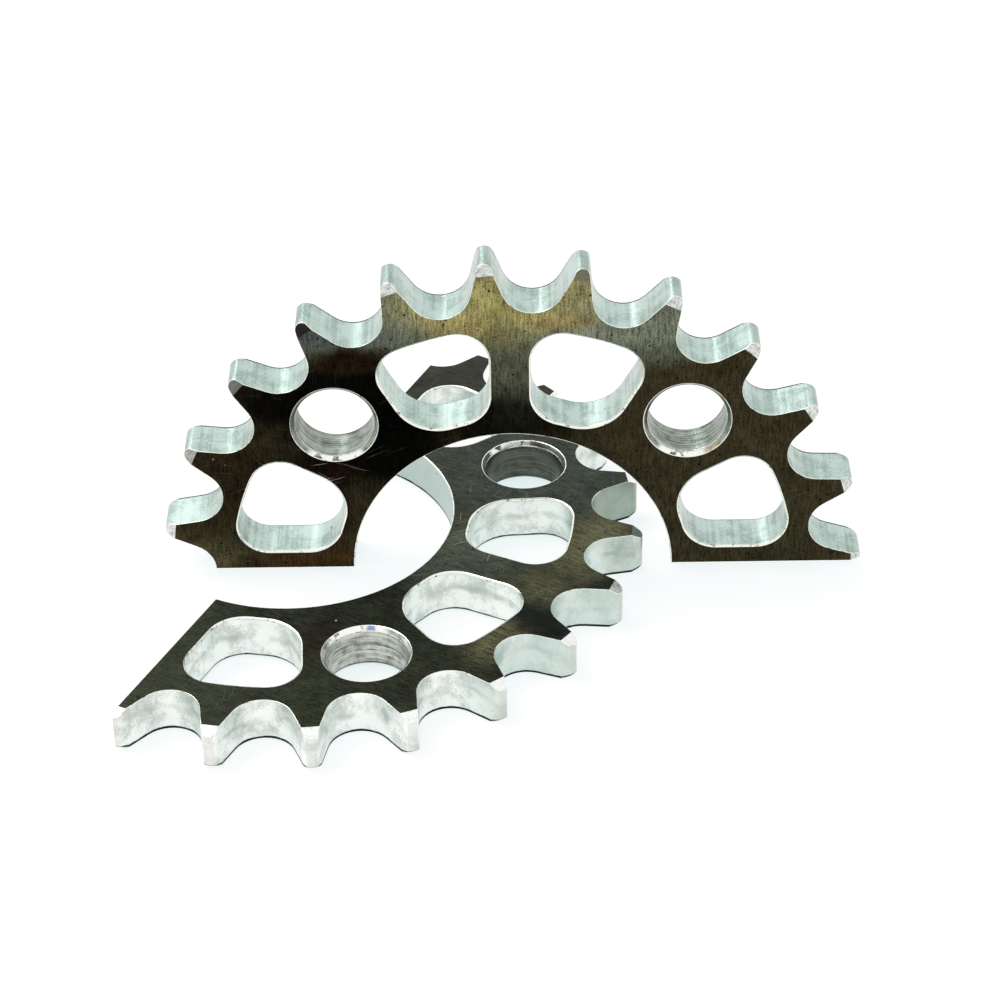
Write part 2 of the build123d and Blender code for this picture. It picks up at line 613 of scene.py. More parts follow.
def around_axis(tree, piece, count, angle, radius=0.0, turned_over=0.0):
    """Copies of a piece, at an angle given for each one's number."""
    points = add(tree, "GeometryNodePoints", Count=count)
    x, y = radius * angle.math("COSINE"), radius * angle.math("SINE")
    points = place_points(tree, points.outputs[0], x, y, 0.0)
    turn = add(tree, "ShaderNodeCombineXYZ", X=turned_over, Z=angle)
    copies = add(
        tree, "GeometryNodeInstanceOnPoints", Points=points, Instance=piece, Rotation=turn.outputs[0]
    )
    return copies.outputs[0]


number = count_along(half_tree)
window_angles = [0.0, pi / 2, pi / 2, pi]
windows = around_axis(
    half_tree,
    tool(half_tree, window_tree, s),
    len(window_angles),
    choose(half_tree, number, window_angles),
    turned_over=choose(half_tree, number, [0.0, pi, 0.0, pi]),
)
hole_angle = s["Hole angle"].math("RADIANS")
hole_angles = [hole_angle, pi - hole_angle]
holes = around_axis(
    half_tree,
    tool(half_tree, drill_tree, s),
    len(hole_angles),
    choose(half_tree, number, hole_angles),
    radius=bolt_circle(s),
)
print(len(window_angles), "windows and", len(hole_angles), "holes in each half")

# %% [markdown]
# ## One half, cut from the ring
#
# An exact Boolean keeps what the blank and the tooth outline share. A second one takes away the windows, the
# holes, and a block that removes the other half. Each cutter leaves its own finish number on the walls it
# cuts, so no face has to be picked by hand. The ring is turned by half a tooth first, so that each half
# ends in half a tooth on one side and half a gap on the other.

# %% Cutting the half
BLOCK = 140.0
CRUMB = 0.03

block = add(half_tree, "GeometryNodeMeshCube", Size=(BLOCK, BLOCK, BLOCK / 4))
block = mark(half_tree, block.outputs[0], "finish", float(WALL))
block = mark(half_tree, block, "edge_break", WALL_BREAK)
other_half = add(half_tree, "GeometryNodeTransform", Geometry=block, Translation=(0, -BLOCK / 2, 0))
half_tooth = add(half_tree, "ShaderNodeCombineXYZ", Z=s["Tooth count"] ** -1 * pi).outputs[0]
outline = add(
    half_tree, "GeometryNodeTransform", Geometry=tool(half_tree, outline_tree, s), Rotation=half_tooth
)
toothed = add(half_tree, "GeometryNodeMeshBoolean", {"operation": "INTERSECT", "solver": "EXACT"})
for solid in (tool(half_tree, blank_tree, s), outline.outputs[0]):
    half_tree.links.new(solid, toothed.inputs[1])
cut = add(half_tree, "GeometryNodeMeshBoolean", {"operation": "DIFFERENCE", "solver": "EXACT"})
half_tree.links.new(toothed.outputs[0], cut.inputs[0])
for cutter in (windows, holes, other_half.outputs[0]):
    half_tree.links.new(cutter, cut.inputs[1])
cleaned = add(half_tree, "GeometryNodeMergeByDistance", Geometry=cut.outputs[0], Distance=CRUMB)
print("the half is cut by", len(cut.inputs[1].links), "cutters after the teeth")

# %% [markdown]
# ## How much each edge is broken
#
# A fine break on every edge catches the light and makes the plate look real. It could be one Bevel for the
# whole part, but a window's edge is broken far more than a tooth's. So every sharp edge gets a weight, and
# the Bevel modifier follows it. A wall asks for its break and the plate's face asks for none. Read on the
# edge between them the value is their average, so it is doubled.

# %% Edge weights
SHARP = radians(20)
WIDEST_BREAK = 0.3
NO_WEIGHT = 0.01

bend = amount(half_tree, add(half_tree, "GeometryNodeInputMeshEdgeAngle"))
weight = read(half_tree, "edge_break") * (2 / WIDEST_BREAK) * bend.math("GREATER_THAN", SHARP)
weight = weight.math("MINIMUM", 1.0)
left_sharp = bend.math("GREATER_THAN", SHARP) * weight.math("LESS_THAN", NO_WEIGHT)
shape = mark(half_tree, cleaned.outputs[0], "bevel_weight_edge", weight, "EDGE")
shape = mark(half_tree, shape, "sharp_edge", left_sharp, "EDGE", "BOOLEAN")
smooth = add(half_tree, "GeometryNodeSetShadeSmooth", {"domain": "FACE"}, Geometry=shape, Shade_Smooth=True)
give(half_tree, smooth.outputs[0])
print("half tree has", len(half_tree.nodes), "nodes")

# %% [markdown]
# ## Finish numbers after the bevel
#
# The Bevel modifier marks its new strips by their material only, and it spreads the finish numbers of the
# faces beside them. So a second tree starts by giving the strips their own number. It also keeps the
# border of the flat face sharp in shading: read on an edge, the mark `flat` is one inside the face, nothing
# outside it, and in between on its border. Last it stores each point's place on the half's own axes, in
# millimetres, for the materials to follow.

# %% Marks for the finishes
NEAR = 0.1

place_tree, _ = new_tree("set_in_place", [], takes_geometry=True)
for name in ("Turn", "Place"):
    place_tree.interface.new_socket(name, in_out="INPUT", socket_type="NodeSocketVector")
for name in FINISH_NAMES:
    place_tree.interface.new_socket(name, in_out="INPUT", socket_type="NodeSocketMaterial")
inputs = place_tree.nodes.new("NodeGroupInput").outputs
material_number = amount(place_tree, add(place_tree, "GeometryNodeInputMaterialIndex"))
finish = read(place_tree, "finish")
broken = material_number.math("COMPARE", float(EDGE), NEAR)
shape = mark(place_tree, inputs["Geometry"], "finish", finish * (1 - broken) + broken * float(EDGE))
shape = mark(place_tree, shape, "flat", finish.math("COMPARE", float(FACE), NEAR))
flat = read(place_tree, "flat")
border = flat.math("GREATER_THAN", NEAR) * flat.math("LESS_THAN", 1 - NEAR)
shape = mark(place_tree, shape, "sharp_edge", True, "EDGE", "BOOLEAN", border)
here = add(place_tree, "GeometryNodeInputPosition").outputs[0]
shape = mark(place_tree, shape, "own", here, "POINT", "FLOAT_VECTOR")
print("the strips get finish", EDGE, "from", len(place_tree.nodes), "nodes")

# %% [markdown]
# ## A place in the frame
#
# The half could be moved as an object, but the export needs its place in its mesh. So the tree turns and
# moves the mesh itself, brings it from millimetres to metres, and gives each finish its material.

# %% Placing tree
placed = add(
    place_tree,
    "GeometryNodeTransform",
    Geometry=shape,
    Translation=inputs["Place"],
    Rotation=inputs["Turn"],
    Scale=(MM, MM, MM),
)
shape = add(place_tree, "GeometryNodeRealizeInstances", Geometry=placed.outputs[0]).outputs[0]
for number, name in enumerate(FINISH_NAMES):
    is_it = finish.math("COMPARE", float(number), NEAR)
    painted = add(
        place_tree, "GeometryNodeSetMaterial", Geometry=shape, Selection=is_it, Material=inputs[name]
    )
    shape = painted.outputs[0]
give(place_tree, shape)
print("placing tree has", len(place_tree.nodes), "nodes")

# %% [markdown]
# ## Where a pattern lies
#
# Patterns read the place that the tree stored on the half's own axes, so a grain line stays where it is when
# the half is turned over. A pattern that should run along one direction reads a stretched copy of it.

# %% Reading the place
def own_axes(tree):
    """The place on the half's own axes: the whole vector, then x, y and z."""
    place = add(tree, "ShaderNodeAttribute", {"attribute_name": "own"}).outputs["Vector"]
    parts = add(tree, "ShaderNodeSeparateXYZ", Vector=place).outputs
    return place, *(Amount(tree, part) for part in parts)


def stretched(tree, place, x=1.0, y=1.0, z=1.0, turn=0.0):
    """The place turned about the axis and then scaled, so that a pattern runs along one direction."""
    turned_place = add(tree, "ShaderNodeVectorRotate", {"rotation_type": "Z_AXIS"}, Vector=place, Angle=turn)
    mapping = add(tree, "ShaderNodeVectorMath", {"operation": "MULTIPLY"})
    tree.links.new(turned_place.outputs[0], mapping.inputs[0])
    scales = add(tree, "ShaderNodeCombineXYZ", X=x, Y=y, Z=z)
    tree.links.new(scales.outputs[0], mapping.inputs[1])
    return mapping.outputs[0]


print("patterns read the attribute own, which runs to", SIZES["Outside diameter"] / 2, "mm")

# %% [markdown]
# ## Noise, steps and colours
#
# Most marks on metal come from three plain steps: a noise, a soft step that turns it into a mask, and a
# mix of two colours by that mask. Each is one node, and one call here.

# %% Noise, steps and colours
def noise(tree, place, scale=1.0, detail=3.0, roughness=0.55):
    """Cloudy noise, from 0 to 1. Its scale is in marks for each millimetre."""
    node = add(tree, "ShaderNodeTexNoise", Vector=place, Scale=scale, Detail=detail, Roughness=roughness)
    return amount(tree, node)


def between(tree, value, low, high):
    """A smooth step from nothing to one as an amount passes from low to high."""
    settings = {"interpolation_type": "SMOOTHSTEP"}
    node = add(tree, "ShaderNodeMapRange", settings, Value=value, From_Min=low, From_Max=high)
    return amount(tree, node)


def blend(tree, share, first, second, how="MIX"):
    """Mixes two colours."""
    node = tree.nodes.new("ShaderNodeMix")
    node.data_type = "RGBA"
    node.blend_type = how
    plug(tree, share, node.inputs[0])
    for place, colour in ((6, first), (7, second)):
        plug(tree, (*colour, 1.0) if isinstance(colour, tuple) else colour, node.inputs[place])
    return node.outputs[2]


print("three calls, one node each: noise, step, mix")

# %% [markdown]
# ## Effects as node groups
#
# Grain, specks, scratches and patches come back in several finishes. Each is built once as a shader node
# group that takes a place and named values and puts out a mask. A material then places it with values of
# its own, and decides alone what the mask does to colour and roughness.

# %% Shared effects
def shared_effect(name, values):
    """A shader node group: its tree, the place going in, its values as amounts, and the mask's socket."""
    tree = bpy.data.node_groups.new(name, "ShaderNodeTree")
    tree.interface.new_socket("Place", in_out="INPUT", socket_type="NodeSocketVector")
    for title, value in values.items():
        socket = tree.interface.new_socket(title, in_out="INPUT", socket_type="NodeSocketFloat")
        socket.default_value = value
    tree.interface.new_socket("Mask", in_out="OUTPUT", socket_type="NodeSocketFloat")
    sockets = tree.nodes.new("NodeGroupInput").outputs
    mask = tree.nodes.new("NodeGroupOutput").inputs["Mask"]
    return tree, sockets["Place"], {title: Amount(tree, sockets[title]) for title in values}, mask


def effect(tree, group, place, **values):
    """Places a shared effect in a material with its own values."""
    node = tree.nodes.new("ShaderNodeGroup")
    node.node_tree = group
    tree.links.new(place, node.inputs["Place"])
    for title, value in values.items():
        plug(tree, value, node.inputs[title])
    return amount(tree, node)


print("each effect takes a place and puts out one mask")

# %% [markdown]
# ## Grain
#
# Grain is what rolling leaves: fine lines along one direction. It is plain noise on a place that has been
# stretched along that direction, which stays even over a large face where an image would repeat.

# %% Grain
grain_group, place, v, mask = shared_effect("grain", {"Turn": 0.0, "Fineness": 4.0, "Length": 12.0})
lines = stretched(grain_group, place, v["Fineness"], v["Fineness"] / v["Length"], v["Fineness"], v["Turn"])
fine = noise(grain_group, lines, scale=1.0, detail=4.0, roughness=0.65)
plug(grain_group, between(grain_group, fine, 0.3, 0.7), mask)
print("grain has", len(grain_group.nodes), "nodes")

# %% [markdown]
# ## Specks
#
# Specks are pits and chips: a few round dots, each in its own cell. Voronoi cells give the dots, and each
# cell's random colour decides whether it holds one and how large it is. Noise alone gives blots that touch.
# A dot fades from full, a little inside its size, to nothing a little outside it.

# %% Specks
SMALLEST = 0.4
SOFT_RIM = 0.3

speck_group, place, v, mask = shared_effect("specks", {"Spacing": 3.0, "Size": 0.15, "Share": 0.2})
cells = add(speck_group, "ShaderNodeTexVoronoi", Vector=place, Scale=v["Spacing"] ** -1)
pick = add(speck_group, "ShaderNodeSeparateXYZ", Vector=cells.outputs["Color"]).outputs
chosen = Amount(speck_group, pick[0]).math("LESS_THAN", v["Share"])
size = v["Size"] * (Amount(speck_group, pick[1]) + SMALLEST) / v["Spacing"]
near = Amount(speck_group, cells.outputs["Distance"])
dot = between(speck_group, near / size, 1 + SOFT_RIM, 1 - SOFT_RIM)
plug(speck_group, dot * chosen, mask)
print("specks have", len(speck_group.nodes), "nodes")

# %% [markdown]
# ## Scratches
#
# Scratches are short thin lines that handling leaves. They are Voronoi dots too, drawn out to long threads
# by a stretched place. A slow noise turns the place a little, so that no two threads lie quite parallel.

# %% Scratches
WANDERING = 0.8
CELLS_IN_A_SPACING = 4.0

scratch_group, place, v, mask = shared_effect("scratches", {"Turn": 0.0, "Spacing": 5.0, "Share": 0.3})
warp = noise(scratch_group, place, scale=0.05, detail=0.0) * WANDERING
along = stretched(scratch_group, place, x=0.07, y=3.2, z=0.3, turn=v["Turn"] + warp)
fineness = v["Spacing"] ** -1 * CELLS_IN_A_SPACING
cells = add(scratch_group, "ShaderNodeTexVoronoi", Vector=along, Scale=fineness)
pick = add(scratch_group, "ShaderNodeSeparateXYZ", Vector=cells.outputs["Color"]).outputs
chosen = Amount(scratch_group, pick[0]).math("LESS_THAN", v["Share"])
thin = between(scratch_group, Amount(scratch_group, cells.outputs["Distance"]), 0.16, 0.06)
plug(scratch_group, thin * chosen, mask)
print("scratches have", len(scratch_group.nodes), "nodes")

# %% [markdown]
# ## Patches
#
# A patch is a soft oval with a ragged rim, used where the plate is stained, tinted or rubbed, and where light
# or shade is painted on. It lies at a given x and y on the half's own axes, so a stain or a painted
# reflection can be set at a certain tooth. Noise alone can't be told where to put a stain.

# %% Patches
RAGGED = 0.9

patch_group, place, v, mask = shared_effect(
    "patch", {"X": 0.0, "Y": 0.0, "Width": 10.0, "Height": 10.0, "Softness": 0.5}
)
parts = add(patch_group, "ShaderNodeSeparateXYZ", Vector=place).outputs
ragged = (noise(patch_group, place, scale=0.12, detail=4.0, roughness=0.6) - 0.5) * RAGGED
off_x = (Amount(patch_group, parts[0]) - v["X"]) / v["Width"] * 2
off_y = (Amount(patch_group, parts[1]) - v["Y"]) / v["Height"] * 2
off = (off_x * off_x + off_y * off_y) ** 0.5 + ragged
plug(patch_group, between(patch_group, off, 1 + v["Softness"], 1 - v["Softness"]), mask)
print("a patch has", len(patch_group.nodes), "nodes")

# %% [markdown]
# ## Metal
#
# Every surface here is bare or thinly skinned metal, so one helper starts them all: a fully metallic
# shader, whose colour is then the colour of its reflections. A second helper gives it a fine bump and a
# roughness that follow the same pattern, because what is deeper is usually duller too.

# %% Metal
BLACK = (0.0012, 0.0012, 0.0011)
# The soot colour also serves as painted shade along the edges of the low side.
SOOT_AND_SHADE = (0.012, 0.013, 0.012)


def metal(name, roughness):
    """A metallic material with its tree and shader. The roughness holds until a pattern drives it."""
    material = bpy.data.materials.new(name)
    material.use_nodes = True
    shader = material.node_tree.nodes["Principled BSDF"]
    shader.inputs["Metallic"].default_value = 1.0
    shader.inputs["Roughness"].default_value = roughness
    return material, material.node_tree, shader


def roughen(tree, shader, height, depth, roughness):
    """Gives a shader a bump from a height, with its depth in millimetres, and a varying roughness."""
    bump = add(tree, "ShaderNodeBump", Height=height, Distance=depth * MM)
    tree.links.new(bump.outputs[0], shader.inputs["Normal"])
    plug(tree, roughness, shader.inputs["Roughness"])


for title, dark_colour in (("soot", SOOT_AND_SHADE), ("black skin", BLACK)):
    print(title, "reflects", round(100 * max(dark_colour), 2), "% of the light")

# %% [markdown]
# ## Stains and painted light
#
# Every surface has stains of its own at certain places, and several carry painted reflection and painted
# shade at certain places too. They could be painted by hand on a UV map, but a table of soft ovals is quicker
# to change and stays sharp at any size. Each row of such a table is one oval: its colour, its share over what
# lies below, x, y, width, height and softness.

# %% Stains and painted light
def stain(tree, place, colour, patches):
    """Lays soft ovals over a colour, one for each row of a table."""
    for stain_colour, share, x, y, width, height, softness in patches:
        oval = effect(tree, patch_group, place, X=x, Y=y, Width=width, Height=height, Softness=softness)
        colour = blend(tree, oval * share, colour, stain_colour)
    return colour


print("a stain is one", patch_group.name, "and one mix")

# %% [markdown]
# ## The plate's faces
#
# The faces keep the dark skin of the rolled plate, with fine grain along the rolling direction, pits, and
# scratches from handling. The two halves share one recipe with different values, and their colours are partly
# painted reflection: each half gets the colours that its skin shows at its own angle to the light, darker on
# the standing face and lighter on the lying one. Roughness follows the grain, because a dark skin shows its
# texture mostly in its reflections.

# %% Recipe for a rolled face
BARE = (0.6, 0.61, 0.55)


def plate_face(name, skin, patches, rubbed, chipped):
    """The dark rolled skin, with its patches of colour and painted reflection, one area with more scratches
    and one with more chips.
    """
    material, tree, shader = metal(name, 0.4)
    place = own_axes(tree)[0]
    # the patches lay stains and painted reflection over the skin
    colour = stain(tree, place, skin, patches)
    # the tone of the skin: a slow cloud, grain along the rolling direction, and fine noise
    cloud = between(tree, noise(tree, place, scale=0.35, detail=5.0, roughness=0.65), 0.3, 0.7)
    grain = effect(tree, grain_group, place, Fineness=3.4, Length=8.0)
    fine = between(tree, noise(tree, place, scale=5.0, detail=2.0, roughness=0.7), 0.3, 0.7)
    tone = (0.74 + cloud * 0.52) * (0.12 + grain + fine * 0.76)
    shade = add(tree, "ShaderNodeCombineXYZ", X=tone, Y=tone, Z=tone).outputs[0]
    colour = blend(tree, 1.0, colour, shade, "MULTIPLY")
    # dark pits, then chips and scratches down to bare metal
    pits = effect(tree, speck_group, place, Spacing=0.9, Size=0.14, Share=0.45)
    colour = blend(tree, pits * 0.9, colour, BLACK)
    chips = effect(tree, speck_group, place, Spacing=5.0, Size=0.2, Share=0.08)
    many_chips = effect(tree, speck_group, place, Spacing=1.3, Size=0.22, Share=0.4)
    chips = chips.math("MAXIMUM", many_chips * effect(tree, patch_group, place, **chipped))
    scratches = effect(tree, scratch_group, place, Turn=-0.8, Spacing=3.5, Share=0.6)
    faint = effect(tree, scratch_group, place, Turn=0.4, Spacing=3.0, Share=0.6)
    worn = effect(tree, patch_group, place, **rubbed)
    lines = (scratches * 0.8).math("MAXIMUM", faint * 0.5) * (worn * 0.92 + 0.08)
    colour = blend(tree, chips.math("MAXIMUM", lines), colour, BARE)
    tree.links.new(colour, shader.inputs["Base Color"])
    height = grain * 0.6 + fine * 0.4 - pits - lines
    roughen(tree, shader, height, depth=0.012, roughness=0.3 + grain * 0.16 + cloud * 0.08)
    return material


print("scratches show bare metal of", BARE)

# %% [markdown]
# ## The standing half's face
#
# The skin isn't even. It is brown on the whole, and nearly black and reddish in the middle of the left side.
# At the crown a painted reflection is laid over it: sage green, a blue-grey band, and straw with two orange
# streaks.

# %% The standing half's face
BROWN = (0.034, 0.0295, 0.0145)
RED_BROWN = (0.013, 0.0065, 0.0025)
RUST = (0.04, 0.02, 0.0065)
STRAW = (0.34, 0.315, 0.12)
ORANGE = (0.33, 0.225, 0.08)
SAGE = (0.165, 0.195, 0.14)
BLUE_GREY = (0.07, 0.095, 0.095)
GOLD = (0.125, 0.12, 0.062)
STANDING_STAINS_AND_SHEEN = [
    # painted reflection at the crown: sage green, straw, orange streaks and a blue-grey band
    (SAGE, 0.95, -14.0, 43.5, 24.0, 14.0, 0.4),
    (SAGE, 0.85, 15.0, 41.5, 26.0, 13.0, 0.5),
    (SAGE, 0.36, 1.0, 34.0, 9.0, 20.0, 0.4),
    (STRAW, 0.85, -2.0, 44.5, 26.0, 12.0, 0.5),
    (ORANGE, 0.45, 7.0, 40.8, 8.0, 2.0, 0.6),
    (ORANGE, 0.3, -8.0, 40.2, 10.0, 2.0, 0.6),
    (SAGE, 0.6, -27.0, 37.0, 7.0, 4.0, 0.5),
    (BLUE_GREY, 0.7, -24.0, 38.6, 15.0, 3.0, 0.6),
    (RED_BROWN, 0.6, -38.0, 15.0, 20.0, 16.0, 0.5),
    (BLACK, 0.95, -24.0, 28.5, 36.0, 12.0, 0.35),
    (BLACK, 0.95, -18.0, 21.0, 24.0, 14.0, 0.45),
    (RED_BROWN, 0.9, -22.0, 35.0, 13.0, 3.5, 0.6),
    (BLACK, 0.85, -2.0, 25.0, 24.0, 8.0, 0.5),
    (RED_BROWN, 0.85, -26.0, 13.0, 8.0, 18.0, 0.5),
    (RUST, 0.8, -28.0, 1.0, 22.0, 6.0, 0.6),
    (GOLD, 0.22, -42.0, 2.5, 8.0, 5.0, 0.5),
]

standing_face = plate_face(
    "standing_rolled_face",
    BROWN,
    STANDING_STAINS_AND_SHEEN,
    rubbed={"X": -27.0, "Y": 16.0, "Width": 20.0, "Height": 8.0, "Softness": 0.5},
    chipped={"X": -40.5, "Y": 15.0, "Width": 5.0, "Height": 7.0, "Softness": 0.3},
)
print("standing face with", len(STANDING_STAINS_AND_SHEEN), "overlays")

# %% [markdown]
# ## The lying half's face
#
# This half is olive and slate, which is how the same skin looks when it mirrors the light from above, with
# a golden tint at the crown and one dark spot in it. It was handled more, so it is rubbed over a wide area.

# %% The lying half's face
OLIVE = (0.025, 0.029, 0.0165)
SLATE = (0.033, 0.043, 0.032)
INK = (0.008, 0.011, 0.0095)
LYING_STAINS = [
    (SLATE, 0.9, -25.0, 26.0, 26.0, 36.0, 0.4),
    (SAGE, 0.3, 0.0, 27.0, 20.0, 14.0, 0.6),
    (GOLD, 0.85, -10.0, 42.0, 17.0, 9.0, 0.5),
    (GOLD, 0.7, 1.0, 40.0, 8.0, 8.0, 0.6),
    (INK, 0.9, 9.0, 42.5, 7.0, 10.0, 0.4),
    (GOLD, 0.8, 15.0, 39.0, 9.0, 8.0, 0.6),
    (RED_BROWN, 0.6, 23.0, 17.0, 10.0, 4.0, 0.6),
]

lying_face = plate_face(
    "lying_rolled_face",
    OLIVE,
    LYING_STAINS,
    rubbed={"X": -2.0, "Y": 27.0, "Width": 30.0, "Height": 14.0, "Softness": 0.5},
    chipped={"X": 20.0, "Y": 18.0, "Width": 6.0, "Height": 3.0, "Softness": 0.5},
)
print("lying face with", len(LYING_STAINS), "overlays")

# %% [markdown]
# ## Cut walls
#
# The teeth and the windows are milled through the plate, and their walls are bright. The cutter leaves faint
# bands along its own axis, a wandering line at the depth where two passes meet, and cloudy smears. Along the
# edge on the low side of each half, which lies on the floor for the lying half and faces the back for the
# standing one, a thin dark line of painted shade is laid.

# %% Painted shade along the low edge
SHADED_SIDE = -3.25


def painted_edge_shade(tree, place, z, width):
    """A thin line of painted shade along the edge on the low side, a little uneven."""
    uneven = (noise(tree, place, scale=0.6, detail=3.0, roughness=0.6) + 0.5) * width
    return between(tree, z - SHADED_SIDE, uneven * 1.2, uneven * 0.8)


print("the dark line lies at z", SHADED_SIDE, "mm on the half's own axes")

# %% [markdown]
# ## Recipe for a cut wall
#
# The parts of a wall are told apart by where they lie. Its distance from the axis tells a tooth's land, which
# was turned, and the bore. Its height above the cut line tells the sawn feet. So one material serves
# all of them, and no wall has to be picked by hand. The sizes below are in millimetres.

# %% Recipe for a cut wall
SMEAR = (0.33, 0.37, 0.34)
BORE_GREY = (0.44, 0.55, 0.52)
LAND = 49.3
LAND_BORDER = 0.15
BORE = 22.7
BORE_BORDER = 0.3
SAWN_FROM, SAWN_TO = 0.1, 0.02
PASS_HEIGHT = 0.3
PASS_WANDER = 6.0
PASS_CORE = 0.02
TIP_REACH = 1.2


def cut_wall(name, pale, shade, streaks, smear, line, overlays):
    """A bright milled wall with bands along the axis, a pass line, smears, and painted shade along the low
    edge.

    Streaks is the share of the bands, smear the reach of the pass line, and line the width of the painted
    edge shade."""
    material, tree, shader = metal(name, 0.3)
    place, x, y, z = own_axes(tree)
    bands = noise(tree, stretched(tree, place, x=1.6, y=1.6, z=0.03), scale=1.0, detail=2.0, roughness=0.6)
    cloud = noise(tree, place, scale=0.3, detail=3.0, roughness=0.55)
    fine = noise(tree, place, scale=3.0, detail=3.0, roughness=0.7)
    tone = between(tree, bands * streaks + cloud * (0.7 - streaks) + fine * 0.3, 0.38, 0.56)
    colour = blend(tree, tone, shade, pale)
    # the line where two passes of the cutter meet comes and goes
    wander = (noise(tree, place, scale=0.14, detail=3.0) - 0.5) * PASS_WANDER
    pass_line = between(tree, (z - PASS_HEIGHT + wander).math("ABSOLUTE"), smear, PASS_CORE)
    pass_line = pass_line * between(tree, noise(tree, place, scale=0.2, detail=2.0), 0.38, 0.6)
    colour = blend(tree, pass_line * (0.2 + fine * 0.6), colour, SMEAR)
    colour = stain(tree, place, colour, overlays)
    # saw marks on the feet, painted shade on the land of the teeth, and a greyer bore
    saw = noise(tree, stretched(tree, place, x=5.0, y=1.0, z=0.25), scale=1.0, detail=2.0, roughness=0.6)
    sawn = between(tree, y, SAWN_FROM, SAWN_TO)
    colour = blend(tree, sawn * between(tree, saw, 0.4, 0.65), colour, SMEAR)
    radius = (x * x + y * y) ** 0.5
    colour = blend(tree, between(tree, radius, LAND, LAND + LAND_BORDER) * 0.45, colour, shade)
    colour = blend(tree, between(tree, radius, BORE + BORE_BORDER, BORE) * 0.9, colour, BORE_GREY)
    # soot in specks, and painted shade along the low edge, wider at the tips
    specks = effect(tree, speck_group, place, Spacing=2.6, Size=0.22, Share=0.1)
    colour = blend(tree, specks * 0.9, colour, SOOT_AND_SHADE)
    tip_widening = between(tree, radius, LAND - TIP_REACH, LAND) + 1
    colour = blend(tree, painted_edge_shade(tree, place, z, tip_widening * line), colour, SOOT_AND_SHADE)
    tree.links.new(colour, shader.inputs["Base Color"])
    roughen(tree, shader, bands * 0.6 + fine * 0.4 - specks, depth=0.02, roughness=0.26 + cloud * 0.14)
    return material


print("land from", LAND, "mm and bore up to", BORE, "mm from the axis")

# %% [markdown]
# ## The walls of each half
#
# The standing half's walls look cool and banded, and the lying half's walls look white and cloudy with broad
# smears; the lying half's lighter colours are painted light, for the light that its walls face. Over the
# lying half's walls a paler green-grey is laid near x 10, y 46, and a green-grey painted shadow of the
# standing half near x -22, y 41.

# %% Cut walls
PALE = (0.53, 0.66, 0.61)
COOL_SHADE = (0.30, 0.40, 0.36)
WHITE_METAL = (0.95, 1.0, 0.96)
WHITE_SHADE = (0.60, 0.66, 0.61)
PAINTED_SHADOW_GREEN = (0.27, 0.34, 0.27)
LYING_WALL_TINT_AND_SHADOW = [
    (PALE, 0.6, 10.0, 46.0, 44.0, 14.0, 0.4),
    # painted shadow of the standing half on the walls beneath it
    (PAINTED_SHADOW_GREEN, 0.8, -22.0, 41.0, 18.0, 14.0, 0.3),
]

standing_wall = cut_wall(
    "standing_cut_wall", PALE, COOL_SHADE, streaks=0.28, smear=0.25, line=0.27, overlays=[]
)
lying_wall = cut_wall(
    "lying_cut_wall",
    WHITE_METAL,
    WHITE_SHADE,
    streaks=0.1,
    smear=0.9,
    line=0.4,
    overlays=LYING_WALL_TINT_AND_SHADOW,
)
print("2 cut walls, one with", len(LYING_WALL_TINT_AND_SHADOW), "overlays")

# %% [markdown]
# ## Drilled holes
#
# A drill leaves rings. They run round the hole, so they are lines across the plate's thickness: tight, dark
# and uneven. The countersink at the mouth was cut with a chattering tool, which breaks it into bright and
# dull bits; the bright bits are painted highlights, laid as ovals at given places. Where the drill ran hot,
# the metal took a little colour.

# %% Recipe for a drilled hole
MOUTH = 2.65
MOUTH_BORDER = 0.05
HIGHLIGHT_WHITE = (0.95, 0.96, 0.9)


def drilled_hole(name, bright, dark, painted_highlights, tints, overlays):
    """A drilled wall with rings, and a countersunk mouth with painted highlights on one side."""
    material, tree, shader = metal(name, 0.3)
    place, _, _, z = own_axes(tree)
    ring_place = stretched(tree, place, x=0.07, y=0.07, z=3.0)
    rings = noise(tree, ring_place, scale=1.0, detail=4.0, roughness=0.7)
    fine_place = stretched(tree, place, x=0.3, y=0.3, z=7.0)
    fine_rings = noise(tree, fine_place, scale=1.0, detail=3.0, roughness=0.6)
    cloud = noise(tree, place, scale=0.7, detail=4.0, roughness=0.7)
    tone = between(tree, rings * 0.4 + fine_rings * 0.3 + cloud * 0.3, 0.38, 0.6)
    colour = stain(tree, place, blend(tree, tone, dark, bright), overlays)
    # the mouth is a copy of the wall's colour with painted highlights and heat tints, broken up by chatter
    chatter_place = stretched(tree, place, x=0.8, y=0.8, z=0.1)
    chatter = between(tree, noise(tree, chatter_place, scale=1.0, detail=2.0), 0.4, 0.46)
    highlighted_mouth = stain(tree, place, colour, [(HIGHLIGHT_WHITE, 1.0, *oval, 0.2) for oval in painted_highlights])
    highlighted_mouth = blend(tree, chatter, colour, stain(tree, place, highlighted_mouth, tints))
    mouth = between(tree, z, MOUTH - MOUTH_BORDER, MOUTH + MOUTH_BORDER)
    colour = blend(tree, mouth, colour, highlighted_mouth)
    # painted shade along the edge on the low side
    colour = blend(tree, painted_edge_shade(tree, place, z, 0.3) * 0.95, colour, SOOT_AND_SHADE)
    tree.links.new(colour, shader.inputs["Base Color"])
    roughen(tree, shader, rings * 0.6 + fine_rings * 0.4, depth=0.03, roughness=0.22 + cloud * 0.2)
    return material


print("the mouth starts", MOUTH, "mm above the mid plane")

# %% [markdown]
# ## The holes of each half
#
# The standing half's holes are painted dark inside, for the shade in them, and carry painted highlights on
# the side that faces the middle. The lying half's are a lighter copy, for the light that they face, and one
# of them is painted dark olive for a dark reflection in it. Each row of highlights is x, y, width and height.

